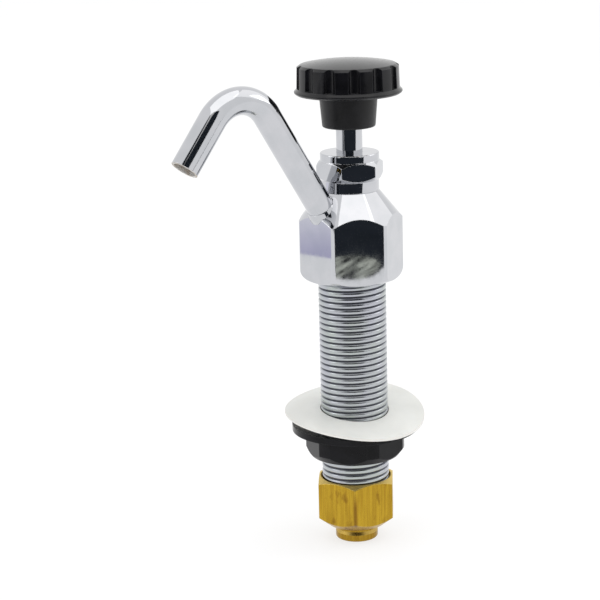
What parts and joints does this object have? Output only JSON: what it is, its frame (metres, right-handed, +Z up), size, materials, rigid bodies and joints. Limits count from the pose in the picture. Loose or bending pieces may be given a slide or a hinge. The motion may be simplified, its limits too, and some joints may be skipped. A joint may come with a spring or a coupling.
{
  "type": "dipper well faucet",
  "caption": "Deck-mounted dipper well faucet: hex valve body with a bent tube spout, a round knob on a rising stem, and a long threaded shank with its washer and nuts.",
  "frame": {"origin": "on the shank's axis, level with the underside of the hex body, which sits on the counter", "axes": "+Z up along the shank and the stem; the spout points towards -X and -Y"},
  "size_m": [0.0718, 0.0658, 0.1504],
  "materials": {
    "chrome": "polished chrome plate",
    "zinc": "satin grey plating",
    "phenolic": "glossy black moulding",
    "black_plastic": "satin black moulding",
    "white_plastic": "satin white sheet",
    "brass": "raw turned brass",
    "steel": "plain stamped steel",
    "rubber": "black rubber",
    "fibre": "red fibre"
  },
  "bodies": {
    "valve": {"valve_body": "chrome", "valve_seat": "brass", "shank_seal": "rubber", "shank": "zinc", "spout": "chrome", "spout_braze": "chrome", "bonnet": "chrome", "bonnet_gasket": "fibre", "stem_oring_lower": "rubber", "stem_oring_upper": "rubber"},
    "seat_disc": {"seat_washer": "rubber"},
    "stem": {"stem": "chrome", "seat_screw": "brass", "knob_insert": "brass", "knob": "phenolic"},
    "deck_ring": {"deck_washer": "white_plastic"},
    "locknut": {"locknut": "black_plastic"},
    "riser_seal": {"friction_ring": "steel", "cone_washer": "rubber"},
    "coupling_nut": {"coupling_nut": "brass"}
  },
  "joints": [
    {"name": "stem_rise", "type": "slide", "parent": "valve", "child": "seat_disc", "axis": [0, 0, 1], "range_m": [0, 0.00317]},
    {"name": "knob_turn", "type": "hinge", "parent": "seat_disc", "child": "stem", "pos_m": [0, 0, 0.04], "axis": [0, 0, 1], "range_deg": [0, 720]},
    {"name": "washer_travel", "type": "slide", "parent": "valve", "child": "deck_ring", "axis": [0, 0, 1], "range_m": [-0.00363, 0.03991]},
    {"name": "locknut_turn", "type": "hinge", "parent": "deck_ring", "child": "locknut", "pos_m": [0, 0, -0.05], "axis": [0, 0, 1], "range_deg": [-720, 7920]},
    {"name": "riser_seal_travel", "type": "slide", "parent": "valve", "child": "riser_seal", "axis": [0, 0, 1], "range_m": [-0.00272, 0.00272]},
    {"name": "coupling_nut_turn", "type": "hinge", "parent": "riser_seal", "child": "coupling_nut", "pos_m": [0, 0, -0.07], "axis": [0, 0, 1], "range_deg": [-540, 540]}
  ],
  "couplings": [
    {"joint": "knob_turn", "follows": "stem_rise", "rad_per_m": 3957.9},
    {"joint": "locknut_turn", "follows": "washer_travel", "rad_per_m": 3463.1},
    {"joint": "coupling_nut_turn", "follows": "riser_seal_travel", "rad_per_m": 3463.1}
  ]
}
